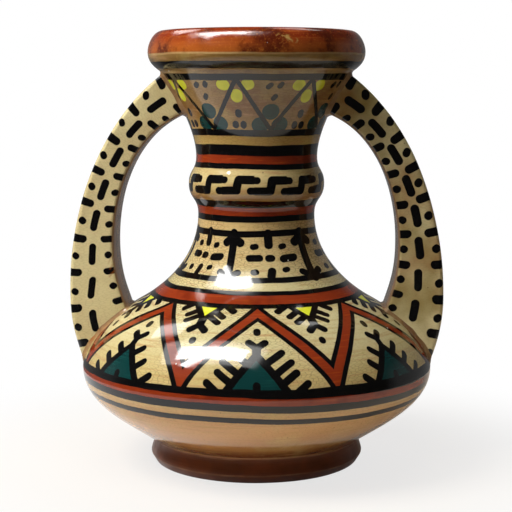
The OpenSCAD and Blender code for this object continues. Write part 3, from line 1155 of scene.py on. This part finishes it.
# Rises on the foot: its ridges, pale with wear and with painted highlight, with half their width, and the
# end of the bare clay
WORN_AND_HIGHLIT_RIDGES = (5.4, 14.4)
WORN_AND_HIGHLIT_HALF = 0.5
BARE_ENDS = (0.2, 0.6)
FOOT_IOR = 1.3


def foot_glaze():
    """Dark red-brown of the foot, pale on its turned ridges with wear and painted highlight, and bare
    underneath.
    """
    brush = Brush("foot_glaze")
    height = brush.height()
    colour = tinted(FOOT_BROWN, FOOT_RED, brush.noise(40, 3, 0.6), 0.35, 0.7)
    colour = tinted(colour, RIM_DARK, brush.streaks(30, 1.1), 0.5, 0.8, 0, 0.5)
    # Pale lines on the turned ridges: worn clay and painted highlight
    low, high = [abs(height - ridge) - WORN_AND_HIGHLIT_HALF for ridge in WORN_AND_HIGHLIT_RIDGES]
    wear_and_highlight = within(low.maths("MINIMUM", high), 0.5) * ramped(brush.noise(90), 0.35, 0.6, 0.45, 1)
    colour = mixed(wear_and_highlight, colour, BARE_CLAY)
    colour = tinted(colour, BARE_CLAY, brush.rise, *BARE_ENDS, 1, 0)
    return brush.glaze(colour, brush.gloss(120, 0.3, 0.5), brush.noise(70, 3), 0.35, FOOT_IOR)


# Dashes of the handles: the first, their spacing, half their width and how far the lowest stray outwards
LEFT_DASHES = (20.0, 18.4, 2.05, 4.5)
RIGHT_DASHES = (19.8, 17.6, 2.35, 0.0)
STRAY_SPAN = (115, 150)
# How much olive and rust each handle has: stain on the left, and on the right stain with painted shade of
# the body's shadow
LEFT_STAIN = 0.2
RIGHT_STAIN_AND_SHADE = 0.9
# Where the strap's inner side ends, and stains there: start, end and half a width
SIDE_ENDS = (0.5, 1.3)
STAIN_STROKES = (
    ((113.0, 1.0), (117.0, 3.4), 0.3),
    ((117.6, 0.8), (120.4, 3.0), 0.35),
    ((121.8, 0.6), (125.0, 4.0), 0.45),
)


def handle_glaze(name, dashes, stain_and_shade):
    """Stained cream slip on a handle, with a row of long dashes between ticks and dots. Its olive and rust
    clouds are stain, and on the right handle also painted shade.
    """
    brush = Brush(name)
    along, from_inner, from_outer = [brush.attribute(layer) for layer in STRAP_LAYERS]
    # Olive and rust clouds: stain, and on the right handle also painted shade
    colour = tinted(LIT_STRAP_CREAM, OLIVE, brush.noise(30, 3, 0.55), 0.35, 0.7, 0, stain_and_shade)
    colour = tinted(colour, RUST, brush.noise(24, 3, 0.55, (0.3, 0.9, 0.1)), 0.45, 0.7, 0, stain_and_shade)
    colour = crazed(brush, brush.flat(from_inner, along), colour, 0.2)

    first, spacing, half, stray = dashes
    cells = (along - first) / spacing
    number = (cells + 0.5).maths("FLOOR")
    dash_along = (cells - number) * spacing
    tick_number = cells.maths("FLOOR")
    tick_along = (cells - tick_number - 0.5) * spacing
    middle = (from_inner - from_outer) * 0.5 - ramped(along, *STRAY_SPAN, 0, stray)
    depth = brush.object.parts().also("Y") / MM
    over_edge = from_outer - (HANDLE_T / 2 - abs(depth)).maths("MAXIMUM", 0)
    paints = Paints()
    # Each mark has a place along and across, a number for its chance, a start, an end and half a width
    marks = (
        (dash_along, middle, number, (-4.0, 0), (4.0, 0.4), half),
        (tick_along, from_inner, tick_number, (0, 1.2), (0.6, 5.0), half),
        (tick_along, over_edge, tick_number + 0.5, (0, -3.6), (0.8, 5.0), half),
        (dash_along, depth, number + 60, (-4.0, 0.3), (4.0, -0.2), half),
        (dash_along, from_inner, number + 20, (0.4, 2.6), (0.9, 3.2), half - 0.2),
        (dash_along, over_edge, number + 40, (0.8, 2.4), (1.3, 3.1), half - 0.2),
    )
    for place, across, chance, *mark in marks:
        paints.mark("black", stroke(brush.spot(place, across, chance), *mark))
    colour = paints.cover(brush, colour)

    colour = tinted(colour, STRAP_SIDE, from_inner, *SIDE_ENDS, 1, 0)
    edge = brush.spot(along, from_inner)
    stains = Paints()
    for mark in STAIN_STROKES:
        stains.mark("stain", stroke(edge, *mark))
    stain = within(stains.nearest["stain"], 0.9) * ramped(brush.noise(130, 3, 0.6), 0.3, 0.6, 0.2, 1)
    colour = mixed(stain * (RIGHT_STAIN_AND_SHADE - stain_and_shade), colour, STAIN)
    return brush.glaze(pinholes(brush, colour), brush.gloss(130, 0.1, 0.22), brush.noise(46, 2, 0.4))


def luting_glaze():
    """Smeared clay of the luting under the clear glaze."""
    brush = Brush("luting_glaze")
    cloud = brush.noise(90, 4, 0.6)
    colour = tinted(LUTING_PALE, LUTING_DARK, cloud, 0.3, 0.7)
    colour = tinted(colour, STAIN, brush.noise(35, 3, 0.6), 0.55, 0.7, 0, 0.7)
    return brush.glaze(colour, ramped(cloud, 0.3, 0.7, 0.14, 0.3), brush.noise(260, 3, 0.6), 0.4)


# Pieces, each on the node that it stands for
def dress(made, node, material):
    made.data.materials.append(material)
    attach(made, "root")
    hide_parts(node)


# Painted sections: the node, its paint's name, its motifs and how much its glaze is crazed
PAINTED = (
    ("belly_bowl", "bowl_paint", (), 0.2),
    ("shoulder", "shoulder_paint", (zigzag_motif, fern_motif, hanging_motif), 0.55),
    ("neck", "neck_paint", (zigzag_motif, hanging_motif, panel_motif), 0.9),
    ("collar", "collar_paint", (meander_motif,), 0.6),
    ("mouth", "mouth_paint", (mouth_motif,), 0.5),
)
SIDES = (("left", -1, LEFT_DASHES, LEFT_STAIN), ("right", 1, RIGHT_DASHES, RIGHT_STAIN_AND_SHADE))
dress(make_foot_ring(), "foot_ring", foot_glaze())
for section, *section_paint in PAINTED:
    thrown = make_belly_bowl() if section == "belly_bowl" else ring_of_wall(section)
    dress(thrown, section, painted_glaze(section, *section_paint))
dress(turned("rolled_rim", outside["rolled_rim"]), "rolled_rim", rim_glaze())
luting_material = luting_glaze()
# Each side's stain amount, which on the right also carries painted shade
for side_name, side_sign, side_dashes, side_stain_and_shade in SIDES:
    strap_name = side_name + "_handle"
    strap_material = handle_glaze(side_name + "_handle_paint", side_dashes, side_stain_and_shade)
    dress(make_handle(strap_name, side_sign), strap_name, strap_material)
    for root_name, root_u, clear_u in (("upper", 0, CLEAR_TOP_U), ("lower", 1, CLEAR_LOW_U)):
        luting_name = side_name + "_" + root_name + "_luting"
        luting = make_luting(luting_name, side_sign, root_u, clear_u)
        dress(luting, luting_name, luting_material)


# Camera where the photograph was taken from, and a white studio
IMAGE_SIDE = 512
FOCAL_PIXELS = 1336.3
SENSOR_MM = 36
CAMERA_DISTANCE = 744.0
CAMERA_HEIGHT = 205.5
CAMERA_AZIMUTH = 2.0
CAMERA_PITCH = 6.98
CAMERA_LEFT = 0.33


def make_camera():
    data = bpy.data.cameras.new("camera")
    data.sensor_width = SENSOR_MM
    data.lens = FOCAL_PIXELS / IMAGE_SIDE * SENSOR_MM
    made = placed("camera", data)
    right = heading(CAMERA_AZIMUTH)
    place = outward(right) * CAMERA_DISTANCE - right * CAMERA_LEFT
    made.location = Vector((place.x, place.y, CAMERA_HEIGHT)) * MM
    made.rotation_euler = (math.radians(UPRIGHT - CAMERA_PITCH), 0, math.radians(CAMERA_AZIMUTH))
    bpy.context.scene.camera = made


DAYLIGHT = (1.0, 1.0, 0.98)
# Soft boxes that light the vase, and panes that only show as highlights in its glaze. Each has an azimuth
# (0 is the front, minus is to the left), elevation, distance, width, height, power and roll about its axis
LIGHTS = {
    "left_window": (-62, 46, 0.8, 0.42, 0.42, 7.3, 0),
    "top_light": (-15, 76, 1.2, 0.7, 0.7, 3.6, 0),
    "back_fill": (155, 32, 1.5, 1.4, 1.4, 6.0, 0),
}
PANES = {
    "high_pane": (-60, 66, 1.0, 0.62, 0.22, 8.5, 36),
    "high_glow": (-60, 66, 1.02, 0.95, 0.42, 4.6, 36),
    "low_pane": (-62, 53, 1.0, 0.1, 0.22, 1.5, 0),
    "back_pane": (-130, 50, 1.0, 0.35, 0.25, 1.6, 0),
    "right_pane": (150, 62, 1.0, 0.35, 0.2, 0.7, 0),
}


def make_lamp(name, azimuth, elevation, distance, width, height, power, roll, lights):
    """A box that faces the middle of the vase."""
    data = bpy.data.lights.new(name, "AREA")
    data.shape = "RECTANGLE"
    data.size = width
    data.size_y = height
    data.energy = power
    data.color = DAYLIGHT
    made = placed(name, data)
    lift = heading(elevation)
    level = outward(heading(azimuth)) * lift.x
    way = Vector((level.x, level.y, lift.y))
    made.location = Vector((0, 0, top_z * MM / 2)) + way * distance
    facing = way.to_track_quat("Z", "Y") @ Quaternion((0, 0, 1), math.radians(roll))
    made.rotation_euler = facing.to_euler()
    made.visible_diffuse = lights
    made.visible_glossy = not lights


# A round pale table before a white backdrop, in a dim room. The table turns white from near to far.
# In the glaze it shines less and less from left to right, and the backdrop shines faintly, up to its top
TABLE_R = 0.3
TABLE_STEPS = 128
TABLE_NEAR = 0.1
TABLE_FAR = 0.25
TABLE_GLOW = 0.75
TABLE_SHINE_LEFT = 1.0
TABLE_SHINE_RIGHT = 0.05
TABLE_SHINE_SPAN = (-0.11, 0.11)
TABLE_COLOUR = (0.86, 0.77, 0.65, 1)
WHITE = (1, 1, 1, 1)
ROOM = (0.028, 0.026, 0.024, 1)
BACKDROP_SHINE = 0.15
BACKDROP_SIDES = (0.0, 0.3)
BACKDROP_TOP = (0.25, 0.5)


def seen_rays(wire):
    """Two masks: of the camera's rays, and of those that come off the glaze or through glass."""
    path = wire.node("LightPath")
    mirrored = path.also("Is Glossy Ray") + path.also("Is Transmission Ray")
    return path.also("Is Camera Ray"), mirrored.maths("MINIMUM", 1)


def make_floor():
    mesh = bmesh.new()
    bmesh.ops.create_circle(mesh, cap_ends=True, segments=TABLE_STEPS, radius=TABLE_R)
    data = bpy.data.meshes.new("floor")
    mesh.to_mesh(data)
    mesh.free()
    made = placed("floor", data)
    material = new_material("floor")
    wire = Wire(material.node_tree)
    place = wire.node("TexCoord", output="Object")
    far = ramped(place.vector("LENGTH", output=1), TABLE_NEAR, TABLE_FAR, TABLE_GLOW, 1)
    camera, mirrored = seen_rays(wire)
    matt = wire.node("BsdfDiffuse", {"Color": TABLE_COLOUR})
    white = wire.node("Emission", {"Color": WHITE})
    shine = ramped(place.parts(), *TABLE_SHINE_SPAN, TABLE_SHINE_LEFT, TABLE_SHINE_RIGHT)
    seen = far * (camera + mirrored * shine)
    surface = wire.node("MixShader", {0: seen, 1: matt, 2: white})
    wire.node("OutputMaterial", {"Surface": surface})
    data.materials.append(material)


def make_world():
    world = bpy.data.worlds.new("studio")
    world.use_nodes = True
    world.node_tree.nodes.clear()
    wire = Wire(world.node_tree)
    parts = wire.node("TexCoord", output="Generated").parts()
    sides = ramped(parts.also("Y"), *BACKDROP_SIDES, 0, BACKDROP_SHINE)
    backdrop = sides * ramped(abs(parts.also("Z")), *BACKDROP_TOP, 1, 0)
    camera, mirrored = seen_rays(wire)
    white = (camera + mirrored * backdrop).maths("MINIMUM", 1)
    sky = wire.node("Background", {"Color": mixed(white, ROOM, WHITE)})
    wire.node("OutputWorld", {"Surface": sky})
    bpy.context.scene.world = world


make_camera()
make_floor()
make_world()
for lamps, lamps_light in ((LIGHTS, True), (PANES, False)):
    for lamp_name, lamp_box in lamps.items():
        make_lamp(lamp_name, *lamp_box, lamps_light)
bpy.context.scene.view_settings.view_transform = "Standard"
